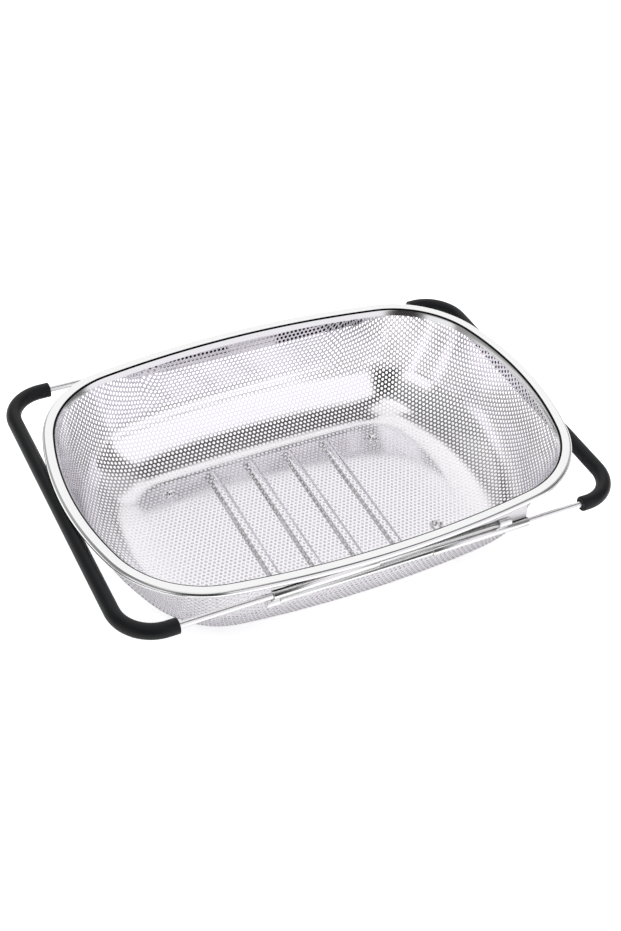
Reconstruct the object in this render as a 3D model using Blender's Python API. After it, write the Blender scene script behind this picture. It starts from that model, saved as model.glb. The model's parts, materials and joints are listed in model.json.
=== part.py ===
"""Over-sink washing strainer basket with two sliding wire handles.

Metres, +Z up. The origin lies on the surface that the four pressed feet stand on, under the middle of
the basket. +X runs along the basket's length, and the handles slide out along -X and +X.
"""

import math

import bmesh
import bpy
from mathutils import Vector

# Clearances
GAP = 0.0003  # between pieces that touch on the real object
SLIDE_GAP = 0.0003  # all round a rod in its guide tube
OVERRUN = 0.0010  # how far a cutter reaches past what it cuts

# Rim, seen from above a rectangle with bowed sides and round corners
RIM_LENGTH = 0.3600
RIM_WIDTH = 0.2500
RIM_CORNER_RADIUS = 0.0755
RIM_SIDE_BOW_RADIUS = 0.6900
RIM_END_BOW_RADIUS = 0.2230
RIM_TOP = 0.0785  # the rim's highest line above the surface that the feet stand on

# Rim's section: an outer roll, a level land, a knee, a slope down to the basket, and a lip underneath
RIM_BAND = 0.0105
RIM_SHEET = 0.0006
ROLL_RADIUS = 0.0023
LAND_WIDTH = 0.0040
KNEE_RADIUS = 0.0030
SLOPE_DEGREES = 62  # from level down to the slope
LIP_LENGTH = 0.0058
CORE_WIRE_RADIUS = 0.0014

# Basket, pressed from perforated sheet
BASKET_SHEET = 0.0005
END_SPREAD = 0.0561  # how far an end wall and its bend run inwards, from the rim to the flat floor
SIDE_SPREAD = 0.0520  # the same for a long side
FLOOR_CORNER_RADIUS = 0.0245
FLOOR_SIDE_BOW_RADIUS = 3.0000
FLOOR_END_BOW_RADIUS = 0.1100
BEND_RADIUS = 0.0480
FLANGE_RUN = 0.0028  # how far the basket's edge runs up inside the rim, along its slope

# Ribs pressed up across the floor
RIB_COUNT = 4
RIB_PITCH = 0.0313
RIB_RUNOUT = 0.0017  # how far a rib's tip runs past the flat floor's edge
RIB_WIDTH = 0.0100
RIB_HEIGHT = 0.0026

# Feet pressed down out of the floor
FOOT_DROP = 0.0022
FOOT_FLAT_RADIUS = 0.0026
FOOT_TOP_RADIUS = 0.0052
FOOT_END_INSET = 0.0314  # from the flat floor's end to a foot's middle
FOOT_SIDE_INSET = 0.0128  # from its long side to a foot's middle

# Perforation. The solid has every few holes of it in the floor, at their real size
HOLE_PITCH = 0.00334
HOLE_DIAMETER = 0.0022
DRAIN_STEP = 4
DRAIN_MARGIN = 0.0030  # from a hole's rim to the flat floor's edge, a rib or a foot

# Handle wires. The left handle's rods run on the upper level, the right handle's on the lower one
ROD_DIAMETER = 0.0044
ROD_INSET = 0.0050  # from the rim's outer edge, half way along it, to a rod's axis
UPPER_ROD_DROP = 0.0097  # from the rim's highest line down to the left handle's rods
ROD_SPACING = 0.0064  # from the upper rods down to the lower ones
HANDLE_BEND_RADIUS = 0.0260
ROD_END_INSET = 0.0910  # from the rim's far end back to a rod's end, its ferrule included
RIGHT_GRIP_TUCK = 0.0020  # the right grip lies low enough to slip this far under the rim

# Grips
GRIP_DIAMETER = 0.0104
GRIP_ARM = 0.0330  # from a grip's mouth to the axis of its crossbar
GRIP_MOUTH_CHAMFER = 0.0007

# Ferrules on the rods' ends
FERRULE_DIAMETER = 0.0055
FERRULE_LENGTH = 0.0092
FERRULE_END_WALL = 0.0012
FERRULE_WALL = 0.0008
FERRULE_CHAMFER = 0.0005

# Guide tubes
GUIDE_WALL = 0.00045
GUIDE_LENGTH = 0.0740
LEFT_GUIDE_INSET = 0.0955  # from the rim's left end to the left handle's guide tubes
RIGHT_GUIDE_INSET = 0.0760  # from the rim's right end to the right handle's guide tubes
LEAF_SHEET = 0.0007
LEAF_FOOT_DEGREES = 35  # how far round the tube, from its inner side, the leaf leaves it

# How finely round shapes are cut. These are counts, not sizes
END_STEPS = 3
CORNER_STEPS = 8
SIDE_STEPS = 6
ROLL_STEPS = 6
KNEE_STEPS = 4
BEND_STEPS = 5
WIRE_SIDES = 10
GRIP_SIDES = 12
CORE_SIDES = 6
GUIDE_SIDES = 16
ELBOW_STEPS = 6
RIB_RINGS = 3
ROUND_SIDES = 12
HOLE_SIDES = 6

# Places that follow from the sizes above
ROD_RADIUS = ROD_DIAMETER / 2
GRIP_RADIUS = GRIP_DIAMETER / 2
FERRULE_RADIUS = FERRULE_DIAMETER / 2
BORE_RADIUS = ROD_RADIUS + SLIDE_GAP
GUIDE_RADIUS = BORE_RADIUS + GUIDE_WALL
ROLL_LEVEL = RIM_TOP - ROLL_RADIUS
RIM_UNDERSIDE = RIM_TOP - 2 * ROLL_RADIUS
FLOOR_UNDERSIDE = FOOT_DROP
FLOOR_TOP = FLOOR_UNDERSIDE + BASKET_SHEET
UPPER_LEVEL = RIM_TOP - UPPER_ROD_DROP
LOWER_LEVEL = UPPER_LEVEL - ROD_SPACING
ROD_PLACE_Y = RIM_WIDTH / 2 - ROD_INSET
SLOPE = math.radians(SLOPE_DEGREES)
KNEE_START = ROLL_RADIUS + LAND_WIDTH
SLOPE_RUN = RIM_BAND - KNEE_START - KNEE_RADIUS * math.sin(SLOPE)
SLOPE_END_LEVEL = RIM_TOP - KNEE_RADIUS * (1 - math.cos(SLOPE)) - SLOPE_RUN * math.tan(SLOPE)
HEM_DEPTH = RIM_SHEET + GAP  # from the rim's outer skin to the face of the sheet that it holds
WALL_INSET = RIM_BAND - HEM_DEPTH * math.sin(SLOPE)
WALL_TOP = SLOPE_END_LEVEL - HEM_DEPTH * math.cos(SLOPE)
FLOOR_HALF_LENGTH = RIM_LENGTH / 2 - WALL_INSET - END_SPREAD
FLOOR_HALF_WIDTH = RIM_WIDTH / 2 - WALL_INSET - SIDE_SPREAD
RIB_LENGTH = 2 * (FLOOR_HALF_WIDTH + RIB_RUNOUT)
FOOT_PLACE_X = FLOOR_HALF_LENGTH - FOOT_END_INSET
FOOT_PLACE_Y = FLOOR_HALF_WIDTH - FOOT_SIDE_INSET
ROD_END_REACH = RIM_LENGTH / 2 - ROD_END_INSET

# The pushed-in left grip stops against the rim's roll, where the rim bulges furthest
GRIP_STANDOFF = GRIP_RADIUS + ROLL_RADIUS + GAP
GRIP_DROP = ROLL_LEVEL - UPPER_LEVEL
GRIP_OVERHANG = math.sqrt(max(GRIP_STANDOFF**2 - GRIP_DROP**2, 0))
LEFT_CROSSBAR_X = RIM_LENGTH / 2 - ROLL_RADIUS + GRIP_OVERHANG
RIGHT_CROSSBAR_X = RIM_LENGTH / 2 - RIGHT_GRIP_TUCK


# Materials


def steel(name, colour, roughness):
    """A stainless steel finish."""
    return plain_material(name, colour, roughness, 1.0)


def plain_material(name, colour, roughness, metallic):
    """A Principled material with one colour, roughness and metallic value."""
    material = bpy.data.materials.new(name)
    material.use_nodes = True
    shader = material.node_tree.nodes["Principled BSDF"]
    shader.inputs["Base Color"].default_value = (*colour, 1.0)
    shader.inputs["Roughness"].default_value = roughness
    shader.inputs["Metallic"].default_value = metallic
    material.diffuse_color = (*colour, 1.0)
    return material


# Mesh helpers


def make_object(name, bm, material=None):
    """Turns a closed bmesh into a smooth-shaded object with its faces pointing out."""
    bmesh.ops.recalc_face_normals(bm, faces=bm.faces)
    mesh = bpy.data.meshes.new(name)
    bm.to_mesh(mesh)
    bm.free()
    mesh.shade_smooth()
    mesh.set_sharp_from_angle(angle=math.radians(40))
    piece = bpy.data.objects.new(name, mesh)
    bpy.context.collection.objects.link(piece)
    if material:
        mesh.materials.append(material)
    return piece


def make_cutter(name, bm):
    """An object that only shapes another one."""
    cutter = make_object(name, bm)
    cutter.hide_render = True
    cutter.display_type = "WIRE"
    return cutter


def add_boolean(piece, operation, cutter, solver="EXACT"):
    """Joins the cutter to the piece, or cuts it out of it."""
    modifier = piece.modifiers.new(cutter.name, "BOOLEAN")
    modifier.operation = operation
    modifier.object = cutter
    modifier.solver = solver


def join_rings(bm, rings, loop_rings=False, cap_ends=False):
    """Adds quads between neighbouring rings of points, and flat caps or a last band back to the first."""
    rows = [[bm.verts.new(point) for point in ring] for ring in rings]
    pairs = list(zip(rows, rows[1:]))
    if loop_rings:
        pairs.append((rows[-1], rows[0]))
    for row, following in pairs:
        for i in range(len(row)):
            j = (i + 1) % len(row)
            bm.faces.new((row[i], row[j], following[j], following[i]))
    if cap_ends:
        bm.faces.new(reversed(rows[0]))
        bm.faces.new(rows[-1])
    return rows


def turn_points(radius, along, sides):
    """A ring of points around the X axis, at the place `along` it."""
    turns = [2 * math.pi * k / sides for k in range(sides)]
    return [Vector((along, radius * math.cos(t), radius * math.sin(t))) for t in turns]


def disc_points(radius, centre_x, centre_y, level, sides):
    """A level ring of points, with a flat side towards +X."""
    turns = [2 * math.pi * (k + 0.5) / sides for k in range(sides)]
    return [
        Vector((centre_x + radius * math.cos(t), centre_y + radius * math.sin(t), level)) for t in turns
    ]


# Plan outlines


def arc_points(centre, radius, start, end, steps):
    """Points on an arc, without its last one."""
    turns = [start + (end - start) * k / steps for k in range(steps)]
    return [centre + radius * Vector((math.cos(t), math.sin(t))) for t in turns]


def bowed_rectangle(half_length, half_width, side_bow, end_bow, corner):
    """A rectangle's outline whose sides are arcs and whose corners are arcs tangent to them."""
    side_centre = Vector((0, half_width - side_bow))
    end_centre = Vector((half_length - end_bow, 0))
    to_side = side_bow - corner
    to_end = end_bow - corner
    between = end_centre - side_centre
    apart = between.length
    along = (apart**2 + to_side**2 - to_end**2) / (2 * apart)
    across = math.sqrt(to_side**2 - along**2)
    forward = between / apart
    outward = Vector((forward.y, -forward.x))
    corner_centre = side_centre + along * forward + across * outward
    from_end = corner_centre - end_centre
    from_side = corner_centre - side_centre
    end_turn = math.atan2(from_end.y, from_end.x)
    side_turn = math.atan2(from_side.y, from_side.x)

    quarter = arc_points(end_centre, end_bow, 0, end_turn, END_STEPS)
    quarter += arc_points(corner_centre, corner, end_turn, side_turn, CORNER_STEPS)
    quarter += arc_points(side_centre, side_bow, side_turn, math.pi / 2, SIDE_STEPS)
    top = Vector((0, half_width))
    far_half = quarter + [top] + [Vector((-p.x, p.y)) for p in reversed(quarter)]
    return far_half + [Vector((p.x, -p.y)) for p in reversed(far_half[1:-1])]


def rim_outline(inset):
    """The line that runs at an even distance inside the rim's outer edge."""
    return bowed_rectangle(
        RIM_LENGTH / 2 - inset,
        RIM_WIDTH / 2 - inset,
        RIM_SIDE_BOW_RADIUS - inset,
        RIM_END_BOW_RADIUS - inset,
        RIM_CORNER_RADIUS - inset,
    )


def floor_outline(inset):
    """The edge of the flat floor, or a line at an even distance inside it."""
    return bowed_rectangle(
        FLOOR_HALF_LENGTH - inset,
        FLOOR_HALF_WIDTH - inset,
        FLOOR_SIDE_BOW_RADIUS - inset,
        FLOOR_END_BOW_RADIUS - inset,
        FLOOR_CORNER_RADIUS - inset,
    )


def at_level(outline, level):
    """Gives flat points their height."""
    return [Vector((p.x, p.y, level)) for p in outline]


def is_inside(outline, x, y):
    """True if the place lies inside the outline."""
    inside = False
    for p, q in zip(outline, outline[1:] + outline[:1]):
        if (p.y > y) != (q.y > y) and x < p.x + (q.x - p.x) * (y - p.y) / (q.y - p.y):
            inside = not inside
    return inside


# Rim


def slope_skin(depth):
    """Points of the knee and the slope's end, as (inset, level), at a depth under the outer skin."""
    radius = KNEE_RADIUS - depth
    turns = [SLOPE * k / KNEE_STEPS for k in range(KNEE_STEPS + 1)]
    centre_level = RIM_TOP - KNEE_RADIUS
    skin = [(KNEE_START + radius * math.sin(t), centre_level + radius * math.cos(t)) for t in turns]
    return skin + [(RIM_BAND - depth * math.sin(SLOPE), SLOPE_END_LEVEL - depth * math.cos(SLOPE))]


def roll_arc(radius):
    """Points of the outer roll, as (inset, level), from its top round the outside to its bottom."""
    turns = [math.pi * k / ROLL_STEPS for k in range(ROLL_STEPS + 1)]
    return [(ROLL_RADIUS - radius * math.sin(t), ROLL_LEVEL + radius * math.cos(t)) for t in turns]


def rim_section():
    """The folded band's section: outer skin from inner edge to lip, then the inner skin back."""
    inner_roll = ROLL_RADIUS - RIM_SHEET
    lip_end = ROLL_RADIUS + LIP_LENGTH
    outer_skin = list(reversed(slope_skin(0))) + roll_arc(ROLL_RADIUS)
    outer_skin.append((lip_end, RIM_UNDERSIDE))
    inner_skin = [(lip_end, RIM_UNDERSIDE + RIM_SHEET)]
    inner_skin += list(reversed(roll_arc(inner_roll))) + slope_skin(RIM_SHEET)
    return outer_skin + inner_skin


def sweep_round_rim(section):
    """A closed ring whose section runs at even distances inside the rim's outer edge."""
    bm = bmesh.new()
    rings = [at_level(rim_outline(inset), level) for inset, level in section]
    join_rings(bm, rings, loop_rings=True)
    return bm


def build_rim(material):
    """The polished band folded over the basket's edge."""
    return make_object("rim", sweep_round_rim(rim_section()), material)


def build_core_wire(material):
    """The wire that stiffens the rim's outer roll."""
    turns = [2 * math.pi * k / CORE_SIDES for k in range(CORE_SIDES)]
    section = [
        (ROLL_RADIUS + CORE_WIRE_RADIUS * math.cos(t), ROLL_LEVEL + CORE_WIRE_RADIUS * math.sin(t))
        for t in turns
    ]
    return make_object("rim_core_wire", sweep_round_rim(section), material)


# Basket


def wall_profile(spread):
    """(run inwards, drop) down a straight wall and round its bend, which ends level on the floor."""
    height = WALL_TOP - FLOOR_TOP
    rise = height - BEND_RADIUS
    reach = math.hypot(spread, rise)
    lean = math.atan2(spread, rise) - math.asin(BEND_RADIUS / reach)
    straight = math.sqrt(reach**2 - BEND_RADIUS**2)
    profile = [(straight * math.sin(lean), straight * math.cos(lean))]
    for k in range(1, BEND_STEPS + 1):
        turn = lean + (math.pi / 2 - lean) * k / BEND_STEPS
        profile.append((spread - BEND_RADIUS * math.cos(turn), rise + BEND_RADIUS * math.sin(turn)))
    return profile


def basket_rings():
    """Rings of the basket's inner face, from the edge held in the rim down to the floor's edge."""
    edge_inset = WALL_INSET - FLANGE_RUN * math.cos(SLOPE)
    edge_level = WALL_TOP + FLANGE_RUN * math.sin(SLOPE)
    top = rim_outline(WALL_INSET)
    rings = [at_level(rim_outline(edge_inset), edge_level), at_level(top, WALL_TOP)]
    columns = []
    for high, low in zip(top, floor_outline(0)):
        inward = low - high
        spread = inward.length
        inward = inward / spread
        columns.append(
            [Vector((*(high + inward * run), WALL_TOP - drop)) for run, drop in wall_profile(spread)]
        )
    return rings + [list(ring) for ring in zip(*columns)]


def dome_points(radius, centre_level, base_level, place_x, place_y):
    """Points on the cap of a ball above the base level."""
    opening = math.acos((base_level - centre_level) / radius)
    points = [Vector((place_x, place_y, centre_level + radius))]
    for k in range(1, RIB_RINGS + 1):
        turn = opening * k / RIB_RINGS
        level = centre_level + radius * math.cos(turn)
        points += disc_points(radius * math.sin(turn), place_x, place_y, level, ROUND_SIDES)
    return points


def add_rib_bars(bm, inset, base_level):
    """Adds one round-ended bar for each rib, its crown `inset` below the rib's own."""
    crown_radius = (RIB_WIDTH**2 / 4 + RIB_HEIGHT**2) / (2 * RIB_HEIGHT)
    centre_level = FLOOR_TOP + RIB_HEIGHT - crown_radius
    end_place = (RIB_LENGTH - RIB_WIDTH) / 2
    for k in range(RIB_COUNT):
        place_x = (k - (RIB_COUNT - 1) / 2) * RIB_PITCH
        points = []
        for place_y in (-end_place, end_place):
            points += dome_points(crown_radius - inset, centre_level, base_level, place_x, place_y)
        verts = [bm.verts.new(point) for point in points]
        bmesh.ops.convex_hull(bm, input=verts)
    bmesh.ops.delete(bm, geom=[v for v in bm.verts if not v.link_faces], context="VERTS")


def foot_places():
    """Where the four feet stand, as (x, y)."""
    return [(x, y) for x in (-FOOT_PLACE_X, FOOT_PLACE_X) for y in (-FOOT_PLACE_Y, FOOT_PLACE_Y)]


def add_foot_cones(bm, inset, low_level, high_level):
    """Adds one cone stump for each foot, its side `inset` inside the foot's own."""
    slope = (FOOT_TOP_RADIUS - FOOT_FLAT_RADIUS) / FOOT_DROP
    side_inset = inset * math.hypot(1, slope)
    for place_x, place_y in foot_places():
        rings = []
        for level in (low_level, high_level):
            radius = FOOT_FLAT_RADIUS + slope * level - side_inset
            rings.append(disc_points(radius, place_x, place_y, level, ROUND_SIDES))
        join_rings(bm, rings, cap_ends=True)


def drain_places():
    """Every few holes of the floor's perforation, clear of the ribs, the feet and the bend."""
    pitch = HOLE_PITCH * DRAIN_STEP
    row_pitch = pitch * math.sqrt(3) / 2
    reach = HOLE_DIAMETER / 2 + DRAIN_MARGIN
    edge = floor_outline(reach)
    columns = int(RIM_LENGTH / pitch / 2)
    rows = int(RIM_WIDTH / row_pitch / 2)
    ribs = [(k - (RIB_COUNT - 1) / 2) * RIB_PITCH for k in range(RIB_COUNT)]
    places = []
    for row in range(-rows, rows + 1):
        shift = pitch / 2 * (row % 2)
        for column in range(-columns, columns + 1):
            x = column * pitch + shift
            y = row * row_pitch
            near_rib = abs(y) < RIB_LENGTH / 2 and any(abs(x - rib) < RIB_WIDTH / 2 + reach for rib in ribs)
            near_foot = any(math.hypot(x - u, y - v) < FOOT_TOP_RADIUS + reach for u, v in foot_places())
            if is_inside(edge, x, y) and not near_rib and not near_foot:
                places.append((x, y))
    return places


def add_drain_pins(bm):
    """Adds one six-sided pin through the floor for each drain hole."""
    for place_x, place_y in drain_places():
        rings = [
            disc_points(HOLE_DIAMETER / 2, place_x, place_y, level, HOLE_SIDES)
            for level in (FLOOR_UNDERSIDE - OVERRUN, FLOOR_TOP + OVERRUN)
        ]
        join_rings(bm, rings, cap_ends=True)


def build_basket(material):
    """The pressed basket: walls and floor of one thickness, ribs raised and feet sunk in its floor."""
    bm = bmesh.new()
    rows = join_rings(bm, basket_rings())
    bm.faces.new(rows[-1])
    basket = make_object("basket_shell", bm, material)
    if basket.data.polygons[-1].normal.z < 0:
        basket.data.flip_normals()
    thickness = basket.modifiers.new("sheet", "SOLIDIFY")
    thickness.thickness = BASKET_SHEET
    thickness.offset = -1.0
    thickness.use_even_offset = True

    middle = (FLOOR_TOP + FLOOR_UNDERSIDE) / 2
    pressings = bmesh.new()
    add_rib_bars(pressings, 0, middle)
    add_foot_cones(pressings, 0, 0, middle)
    # The exact solver loses the shell at some widths of the basket, and the manifold one doesn't
    add_boolean(basket, "UNION", make_cutter("rib_crowns_and_foot_cups", pressings), "MANIFOLD")
    hollows = bmesh.new()
    add_rib_bars(hollows, BASKET_SHEET, FLOOR_UNDERSIDE - OVERRUN)
    add_foot_cones(hollows, BASKET_SHEET, BASKET_SHEET, FLOOR_TOP + OVERRUN)
    add_drain_pins(hollows)
    add_boolean(basket, "DIFFERENCE", make_cutter("hollows_and_drain_holes", hollows), "MANIFOLD")
    return basket


# Handles


def sweep_along(places, radii, sides):
    """Rings of the given radii around level places, each square to the path there."""
    up = Vector((0, 0, 1))
    turns = [2 * math.pi * n / sides for n in range(sides)]
    rings = []
    for k, (place, radius) in enumerate(zip(places, radii)):
        before = places[max(k - 1, 0)]
        after = places[min(k + 1, len(places) - 1)]
        across = (after - before).cross(up).normalized()
        rings.append([place + radius * (math.cos(t) * across + math.sin(t) * up) for t in turns])
    return rings


def handle_path(side, crossbar, rod_length, level):
    """The U's axis from the front rod round the crossbar to the back rod, rod_length from the crossbar."""
    corner_y = ROD_PLACE_Y - HANDLE_BEND_RADIUS
    half = [Vector((side * (crossbar - rod_length), -ROD_PLACE_Y, level))]
    for k in range(ELBOW_STEPS + 1):
        turn = math.pi / 2 * k / ELBOW_STEPS
        out = crossbar - HANDLE_BEND_RADIUS * (1 - math.sin(turn))
        half.append(Vector((side * out, -corner_y - HANDLE_BEND_RADIUS * math.cos(turn), level)))
    return half + [Vector((p.x, -p.y, p.z)) for p in reversed(half)]


def build_wire(name, side, crossbar, level, material):
    """A handle's wire, with a thinner spigot for the ferrule at each end."""
    spigot_radius = FERRULE_RADIUS - FERRULE_WALL - GAP
    shoulder = ROD_END_REACH - FERRULE_LENGTH - GAP
    tip_x = -side * (ROD_END_REACH - FERRULE_END_WALL - GAP)
    path = handle_path(side, crossbar, crossbar + shoulder, level)
    tips = [Vector((tip_x, y, level)) for y in (-ROD_PLACE_Y, ROD_PLACE_Y)]
    places = [tips[0], path[0], *path, path[-1], tips[1]]
    radii = [spigot_radius] * 2 + [ROD_RADIUS] * len(path) + [spigot_radius] * 2
    bm = bmesh.new()
    join_rings(bm, sweep_along(places, radii, WIRE_SIDES), cap_ends=True)
    return make_object(name, bm, material)


def build_grip(name, side, crossbar, level, material):
    """A rubber tube over the crossbar and both elbows, open at its two mouths."""
    path = handle_path(side, crossbar, GRIP_ARM, level)
    first = path[0] + Vector((side * GRIP_MOUTH_CHAMFER, 0, 0))
    last = path[-1] + Vector((side * GRIP_MOUTH_CHAMFER, 0, 0))
    places = [path[0], first, *path[1:-1], last, path[-1]]
    mouth_radius = GRIP_RADIUS - GRIP_MOUTH_CHAMFER
    outer = [mouth_radius] + [GRIP_RADIUS] * (len(places) - 2) + [mouth_radius]
    inner = [ROD_RADIUS + GAP] * len(path)
    bm = bmesh.new()
    rings = sweep_along(places, outer, GRIP_SIDES)
    rings += list(reversed(sweep_along(path, inner, GRIP_SIDES)))
    join_rings(bm, rings, loop_rings=True)
    return make_object(name, bm, material)


def build_ferrule(name, side, place_y, level, material):
    """A blind sleeve over a rod's end, wider than the guide tube's bore, so that the rod stays in."""
    mouth = ROD_END_REACH - FERRULE_LENGTH
    bore_radius = FERRULE_RADIUS - FERRULE_WALL
    slim = FERRULE_RADIUS - FERRULE_CHAMFER
    profile = [
        (ROD_END_REACH - FERRULE_END_WALL, bore_radius),
        (mouth, bore_radius),
        (mouth, slim),
        (mouth + FERRULE_CHAMFER, FERRULE_RADIUS),
        (ROD_END_REACH - FERRULE_CHAMFER, FERRULE_RADIUS),
        (ROD_END_REACH, slim),
    ]
    bm = bmesh.new()
    rings = [turn_points(radius, -side * along, ROUND_SIDES) for along, radius in profile]
    join_rings(bm, rings, cap_ends=True)
    ferrule = make_object(name, bm, material)
    ferrule.location = (0, place_y, level)
    return ferrule


# Guide tubes


def guide_outline(level):
    """A tube's section with the leaf that rises from it to the rim, as (inwards, up) from its axis."""
    foot_turn = math.radians(LEAF_FOOT_DEGREES)
    leaf_foot = Vector((GUIDE_RADIUS * math.cos(foot_turn), GUIDE_RADIUS * math.sin(foot_turn)))
    passing = FERRULE_RADIUS + GAP
    lean = (passing - leaf_foot.x) / (ROD_SPACING - leaf_foot.y)
    leaf_top = RIM_UNDERSIDE - GAP - level
    outer_top = leaf_foot.x + lean * (leaf_top - leaf_foot.y)
    outline = []
    for k in range(GUIDE_SIDES + 1):
        turn = foot_turn + (2 * math.pi - foot_turn) * k / GUIDE_SIDES
        outline.append(Vector((GUIDE_RADIUS * math.cos(turn), GUIDE_RADIUS * math.sin(turn))))
    return outline + [Vector((outer_top + LEAF_SHEET, leaf_top)), Vector((outer_top, leaf_top))]


def build_guide(name, side, face, inset, level, material):
    """A guide tube on the front (face -1) or the back (face +1), with its weld leaf and its bore."""
    outer_end = side * (RIM_LENGTH / 2 - inset)
    ends = sorted((outer_end, outer_end - side * GUIDE_LENGTH))
    bm = bmesh.new()
    rings = []
    for x in ends:
        rings.append(
            [Vector((x, face * (ROD_PLACE_Y - p.x), level + p.y)) for p in guide_outline(level)]
        )
    join_rings(bm, rings, cap_ends=True)
    guide = make_object(name, bm, material)
    bore = bmesh.new()
    bore_rings = [turn_points(BORE_RADIUS, x, GUIDE_SIDES) for x in (ends[0] - OVERRUN, ends[1] + OVERRUN)]
    join_rings(bore, bore_rings, cap_ends=True)
    cutter = make_cutter(name + "_bore", bore)
    cutter.location = (0, face * ROD_PLACE_Y, level)
    add_boolean(guide, "DIFFERENCE", cutter)
    return guide


def build_all():
    """Builds every piece of the basket and its two handles."""
    for old in list(bpy.data.objects):
        bpy.data.objects.remove(old, do_unlink=True)
    polished = steel("polished_stainless", (0.78, 0.78, 0.79), 0.08)
    pressed = steel("perforated_stainless", (0.74, 0.74, 0.75), 0.22)
    drawn = steel("drawn_stainless_wire", (0.70, 0.70, 0.71), 0.15)
    rubber = plain_material("black_rubber", (0.022, 0.022, 0.024), 0.55, 0.0)

    build_basket(pressed)
    build_rim(polished)
    build_core_wire(drawn)
    handles = (
        ("left", -1, LEFT_CROSSBAR_X, UPPER_LEVEL, LEFT_GUIDE_INSET),
        ("right", 1, RIGHT_CROSSBAR_X, LOWER_LEVEL, RIGHT_GUIDE_INSET),
    )
    for hand, side, crossbar, level, guide_inset in handles:
        build_wire("handle_wire_" + hand, side, crossbar, level, drawn)
        build_grip("grip_" + hand, side, crossbar, level, rubber)
        for face_name, face in (("front", -1), ("back", 1)):
            ending = face_name + "_" + hand
            build_guide("guide_" + ending, side, face, guide_inset, level, polished)
            build_ferrule("ferrule_" + ending, side, face * ROD_PLACE_Y, level, drawn)


build_all()
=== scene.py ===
"""The looks of a washing strainer basket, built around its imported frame.

A pressed basket of perforated stainless sheet hangs in a folded, polished rim. Two U-shaped wire
handles with rubber grips slide out lengthwise, in guide tubes under the rim's long sides.
Sizes are in millimetres until a mesh is made, and the origin is on the ground under the middle.
"""

import json
import logging
import math
from dataclasses import astuple, dataclass, field
from enum import Enum

import bmesh
import bpy
import numpy as np
from mathutils import Matrix, Vector

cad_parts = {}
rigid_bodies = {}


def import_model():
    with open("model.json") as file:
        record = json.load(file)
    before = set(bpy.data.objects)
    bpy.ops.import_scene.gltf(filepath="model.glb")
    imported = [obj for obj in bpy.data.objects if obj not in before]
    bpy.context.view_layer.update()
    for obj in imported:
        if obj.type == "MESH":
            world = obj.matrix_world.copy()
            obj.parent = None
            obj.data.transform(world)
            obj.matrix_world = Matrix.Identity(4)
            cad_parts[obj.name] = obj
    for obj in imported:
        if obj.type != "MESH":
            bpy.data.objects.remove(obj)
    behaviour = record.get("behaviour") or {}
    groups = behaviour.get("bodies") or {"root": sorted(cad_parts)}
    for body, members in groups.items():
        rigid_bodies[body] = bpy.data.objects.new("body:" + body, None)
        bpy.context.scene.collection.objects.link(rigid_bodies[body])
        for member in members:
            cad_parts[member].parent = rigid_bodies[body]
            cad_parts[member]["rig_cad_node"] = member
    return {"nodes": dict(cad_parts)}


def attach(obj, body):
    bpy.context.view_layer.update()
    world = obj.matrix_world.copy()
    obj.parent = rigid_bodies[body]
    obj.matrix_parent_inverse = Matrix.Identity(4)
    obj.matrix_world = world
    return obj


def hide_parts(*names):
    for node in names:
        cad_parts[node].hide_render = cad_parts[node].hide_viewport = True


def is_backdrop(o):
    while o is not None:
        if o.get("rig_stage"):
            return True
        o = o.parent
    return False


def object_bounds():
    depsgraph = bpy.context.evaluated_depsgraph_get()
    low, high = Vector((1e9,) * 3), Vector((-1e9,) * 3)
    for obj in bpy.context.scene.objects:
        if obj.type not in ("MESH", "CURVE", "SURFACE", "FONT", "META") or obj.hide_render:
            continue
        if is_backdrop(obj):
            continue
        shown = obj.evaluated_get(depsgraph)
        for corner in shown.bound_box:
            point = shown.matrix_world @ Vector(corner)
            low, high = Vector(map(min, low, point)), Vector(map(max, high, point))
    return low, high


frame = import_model()

Array = np.ndarray
Pair = tuple[float, float]
LOG = logging.getLogger("strainer_basket")
MM = 0.001  # metres in a millimetre
IMAGE_HEIGHT = 931  # pixels of the photograph


# Helpers


def linear(hex_colour: str) -> tuple[float, float, float, float]:
    """Turns an sRGB hex colour into linear values.

    Args:
        hex_colour: Six hex digits, such as "c8c9cb".

    Returns:
        Linear red, green, blue and an alpha of 1.
    """
    levels = (int(hex_colour[k : k + 2], 16) / 255 for k in (0, 2, 4))
    return *(v / 12.92 if v <= 0.04045 else ((v + 0.055) / 1.055) ** 2.4 for v in levels), 1.0


def unit(vectors: Array) -> Array:
    """Returns vectors brought to length 1."""
    return vectors / np.linalg.norm(vectors, axis=-1, keepdims=True)


def whole_turn(sides: int, shift: float = 0.0) -> Array:
    """Returns evenly spaced angles all the way round, which start at a share of the first step."""
    return 2 * math.pi * (np.arange(sides) + shift) / sides


def directions(turns: Array) -> Array:
    """Returns the flat directions of angles."""
    return np.stack([np.cos(turns), np.sin(turns)], axis=-1)


def mix(start: Array, end: Array, share: Array) -> Array:
    """Returns values that lie a share of the way from start to end."""
    return start * (1 - share) + end * share


def running_total(steps: Array | list[float]) -> Array:
    """Returns the sum of the steps so far, from 0 to the whole."""
    return np.concatenate([[0], np.cumsum(steps)])


def set_inputs(node: bpy.types.Node, inputs: dict) -> None:
    """Gives a node its input values and links.

    Args:
        node: The node.
        inputs: Values or output sockets by input name or number.
    """
    for key, value in inputs.items():
        if isinstance(value, bpy.types.NodeSocket):
            node.id_data.links.new(value, node.inputs[key])
        else:
            node.inputs[key].default_value = value


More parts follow.
